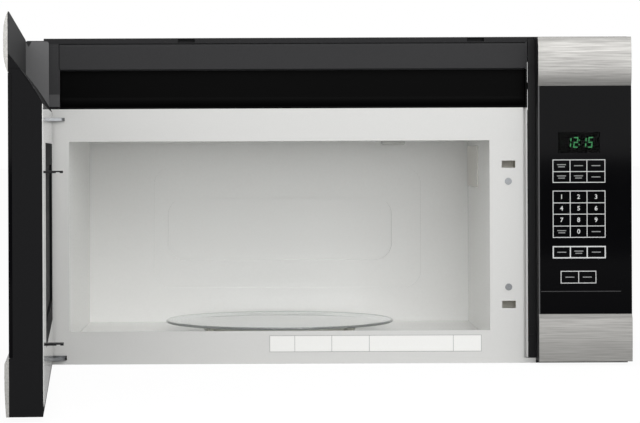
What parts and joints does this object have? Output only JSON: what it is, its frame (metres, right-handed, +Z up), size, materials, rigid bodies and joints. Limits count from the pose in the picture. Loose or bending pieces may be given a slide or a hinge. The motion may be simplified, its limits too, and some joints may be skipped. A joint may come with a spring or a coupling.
{
  "type": "over the range microwave",
  "caption": "Wide microwave oven for mounting over a cooktop: side-hinged door with steel bands, open white cavity with glass turntable, control panel, top vent grille and inner workings.",
  "frame": {"origin": "On the wall plane, on the case's centre line, level with the underside.", "axes": "+X to the right seen from the front, +Y towards the wall, +Z up. The door is stored standing open."},
  "size_m": [0.7891, 0.9953, 0.43],
  "materials": {
    "galvanised_steel": "galvanised sheet",
    "white_painted_steel": "white powder coat",
    "black_painted_steel": "black powder coat",
    "stainless_steel": "horizontally brushed",
    "black_plastic": "moulded, fine texture",
    "gloss_black_plastic": "moulded, polished",
    "grey_plastic": "moulded",
    "black_glass": "back-printed black glass",
    "smoked_window": "smoked clear window",
    "clear_glass": "pressed tempered glass",
    "clear_lens": "moulded lens",
    "zinc_plated_steel": "bright zinc",
    "mica": "pressed mica sheet",
    "nylon": "moulded nylon",
    "lamination_steel": "varnished laminations",
    "copper_winding": "varnished winding",
    "aluminium_mesh": "expanded mesh",
    "aluminium_can": "drawn can",
    "circuit_board": "epoxy laminate",
    "charcoal_pad": "charcoal pad in a paper frame",
    "perforated_steel": "perforated, black enamel",
    "spring_steel": "drawn wire"
  },
  "bodies": {
    "oven": {"wall_mounting_plate": "galvanised_steel", "rear_panel": "galvanised_steel", "case_top": "black_painted_steel", "case_sides": "black_painted_steel", "base_plate": "black_painted_steel", "front_plate": "white_painted_steel", "case_screws": "zinc_plated_steel", "power_cord_gland": "black_plastic", "cavity_liner": "white_painted_steel", "waveguide_cover": "mica", "cavity_lamp_lens": "clear_lens", "cavity_lamp": "clear_lens", "turntable_motor": "galvanised_steel", "vent_grille": "black_plastic", "charcoal_filter": "charcoal_pad", "blower_housings": "black_plastic", "blower_motor": "galvanised_steel", "waveguide": "galvanised_steel", "magnetron": "aluminium_can", "transformer_core": "lamination_steel", "transformer_windings": "copper_winding", "hv_capacitor_set": "aluminium_can", "noise_filter_board": "circuit_board", "cooling_fan_frame": "black_plastic", "cooling_fan_motor": "lamination_steel", "cooktop_lamp_cover": "clear_lens", "cooktop_lamps": "clear_lens", "interlock_housing": "black_plastic", "door_switches": "grey_plastic", "latch_housing_screws": "zinc_plated_steel", "control_panel_housing": "black_plastic", "panel_top_band": "stainless_steel", "panel_bottom_band": "stainless_steel", "panel_glass": "black_glass", "display_window": "smoked_window", "display_module": "grey_plastic", "control_board": "circuit_board", "hinge_brackets": "zinc_plated_steel", "hinge_pins": "zinc_plated_steel"},
    "door": {"door_frame": "gloss_black_plastic", "door_inner_pan": "white_painted_steel", "door_choke_cover": "black_plastic", "door_screen": "perforated_steel", "door_glass": "black_glass", "door_top_band": "stainless_steel", "door_bottom_band": "stainless_steel", "door_end_cap": "grey_plastic", "hinge_bushes": "nylon", "latch_spring": "spring_steel"},
    "latch": {"latch_slide": "black_plastic"},
    "coupler": {"turntable_coupler": "nylon"},
    "tray": {"glass_tray": "clear_glass"},
    "ring": {"roller_ring": "nylon"},
    "wheel_1": {"roller_wheel_1": "nylon"},
    "wheel_2": {"roller_wheel_2": "nylon"},
    "wheel_3": {"roller_wheel_3": "nylon"},
    "blower": {"blower_rotor": "black_plastic"},
    "fan": {"cooling_fan_blade": "nylon"},
    "filter_left": {"grease_filter_left": "aluminium_mesh"},
    "filter_right": {"grease_filter_right": "aluminium_mesh"}
  },
  "joints": [
    {"name": "door_swing", "type": "hinge", "parent": "oven", "child": "door", "pos_m": [-0.374, -0.3625, 0.2], "axis": [0, 0, 1], "range_deg": [-14.5, 85.5]},
    {"name": "latch_lift", "type": "slide", "parent": "door", "child": "latch", "axis": [0, 0, 1], "range_m": [0, 0.002], "stiffness_N_per_m": 400, "springref_m": -0.002, "deforming": ["latch_spring"]},
    {"name": "turntable_spin", "type": "hinge", "parent": "oven", "child": "coupler", "pos_m": [-0.07335, -0.19, 0.035], "axis": [0, 0, 1], "continuous": true},
    {"name": "tray_lift", "type": "slide", "parent": "coupler", "child": "tray", "axis": [0, 0, 1], "range_m": [0, 0.15]},
    {"name": "ring_spin", "type": "hinge", "parent": "oven", "child": "ring", "pos_m": [-0.07335, -0.19, 0.035], "axis": [0, 0, 1], "continuous": true},
    {"name": "blower_spin", "type": "hinge", "parent": "oven", "child": "blower", "pos_m": [0, -0.075, 0.346], "axis": [1, 0, 0], "continuous": true},
    {"name": "fan_spin", "type": "hinge", "parent": "oven", "child": "fan", "pos_m": [0.3, -0.192, 0.259], "axis": [0, 1, 0], "continuous": true},
    {"name": "filter_left_drop", "type": "slide", "parent": "oven", "child": "filter_left", "axis": [0, 0, -1], "range_m": [0, 0.04]},
    {"name": "filter_right_drop", "type": "slide", "parent": "oven", "child": "filter_right", "axis": [0, 0, -1], "range_m": [0, 0.04]},
    {"name": "wheel_1_spin", "type": "hinge", "parent": "ring", "child": "wheel_1", "pos_m": [-0.07335, -0.082, 0.035], "axis": [0, -1, 0], "continuous": true},
    {"name": "wheel_2_spin", "type": "hinge", "parent": "ring", "child": "wheel_2", "pos_m": [-0.16688, -0.244, 0.035], "axis": [0.866, 0.5, 0], "continuous": true},
    {"name": "wheel_3_spin", "type": "hinge", "parent": "ring", "child": "wheel_3", "pos_m": [0.02018, -0.244, 0.035], "axis": [-0.866, 0.5, 0], "continuous": true}
  ],
  "couplings": [
    {"joint": "ring_spin", "follows": "turntable_spin", "ratio": 0.5},
    {"joint": "wheel_1_spin", "follows": "turntable_spin", "ratio": 11.489},
    {"joint": "wheel_2_spin", "follows": "turntable_spin", "ratio": 11.489},
    {"joint": "wheel_3_spin", "follows": "turntable_spin", "ratio": 11.489}
  ]
}
